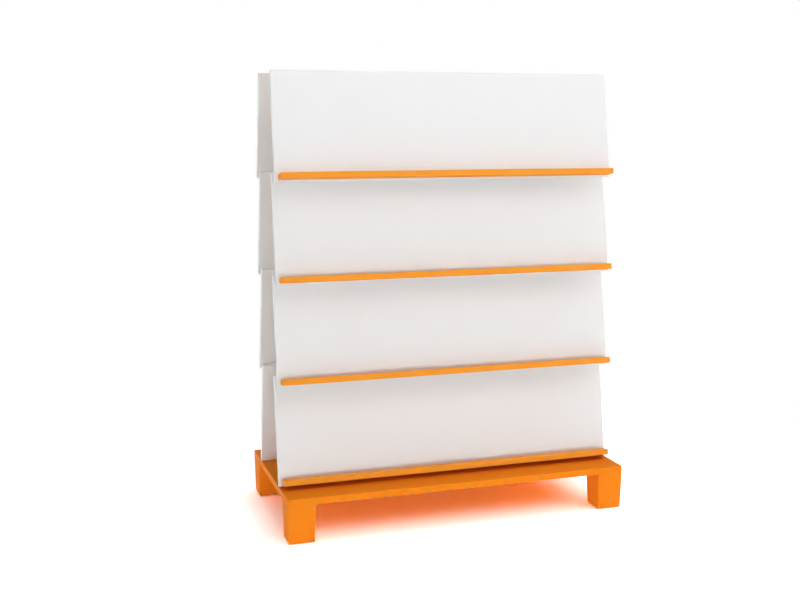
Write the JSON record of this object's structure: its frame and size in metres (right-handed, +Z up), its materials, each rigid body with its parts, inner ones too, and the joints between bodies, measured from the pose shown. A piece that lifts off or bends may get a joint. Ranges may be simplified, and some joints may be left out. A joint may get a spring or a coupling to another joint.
{
  "type": "double-sided display bookcase",
  "caption": "Free-standing bookcase with sloping white display panels and orange ledge bars on both long sides, on a low orange base with square legs.",
  "frame": {"origin": "on the floor under the middle of the base", "axes": "+Z up, X along the width, the side seen in the picture faces -Y"},
  "size_m": [1.05, 0.53, 1.3359],
  "materials": {
    "base_lacquer": "satin orange lacquer on board and solid wood legs",
    "ledge_lacquer": "satin orange lacquer on a solid wood bar",
    "panel_white": "matt white laminated board with matching edges",
    "carcass_white": "matt white laminated board",
    "zinc_steel": "bright zinc plating",
    "beech": "bare beech dowel",
    "glide_plastic": "moulded grey plastic"
  },
  "bodies": {
    "root": {"base_board": "base_lacquer", "leg_front_left": "base_lacquer", "leg_front_right": "base_lacquer", "leg_rear_left": "base_lacquer", "leg_rear_right": "base_lacquer", "panel_front_1": "panel_white", "panel_front_2": "panel_white", "panel_front_3": "panel_white", "panel_front_4": "panel_white", "panel_rear_1": "panel_white", "panel_rear_2": "panel_white", "panel_rear_3": "panel_white", "panel_rear_4": "panel_white", "ledge_front_1": "ledge_lacquer", "ledge_front_2": "ledge_lacquer", "ledge_front_3": "ledge_lacquer", "ledge_front_4": "ledge_lacquer", "ledge_rear_1": "ledge_lacquer", "ledge_rear_2": "ledge_lacquer", "ledge_rear_3": "ledge_lacquer", "ledge_rear_4": "ledge_lacquer", "upright_left": "carcass_white", "upright_right": "carcass_white", "top_stretcher": "carcass_white", "cam_fitting_front_1_left": "zinc_steel", "cam_fitting_front_1_right": "zinc_steel", "cam_fitting_front_2_left": "zinc_steel", "cam_fitting_front_2_right": "zinc_steel", "cam_fitting_front_3_left": "zinc_steel", "cam_fitting_front_3_right": "zinc_steel", "cam_fitting_front_4_left": "zinc_steel", "cam_fitting_front_4_right": "zinc_steel", "cam_fitting_rear_1_left": "zinc_steel", "cam_fitting_rear_1_right": "zinc_steel", "cam_fitting_rear_2_left": "zinc_steel", "cam_fitting_rear_2_right": "zinc_steel", "cam_fitting_rear_3_left": "zinc_steel", "cam_fitting_rear_3_right": "zinc_steel", "cam_fitting_rear_4_left": "zinc_steel", "cam_fitting_rear_4_right": "zinc_steel", "base_screw_front_left": "zinc_steel", "base_screw_front_right": "zinc_steel", "base_screw_rear_left": "zinc_steel", "base_screw_rear_right": "zinc_steel", "stretcher_screw_front_left": "zinc_steel", "stretcher_screw_front_right": "zinc_steel", "stretcher_screw_rear_left": "zinc_steel", "stretcher_screw_rear_right": "zinc_steel", "leg_dowel_front_left_left": "beech", "leg_dowel_front_left_right": "beech", "leg_dowel_front_right_left": "beech", "leg_dowel_front_right_right": "beech", "leg_dowel_rear_left_left": "beech", "leg_dowel_rear_left_right": "beech", "leg_dowel_rear_right_left": "beech", "leg_dowel_rear_right_right": "beech", "glide_front_left": "glide_plastic", "glide_front_right": "glide_plastic", "glide_rear_left": "glide_plastic", "glide_rear_right": "glide_plastic"}
  },
  "joints": []
}
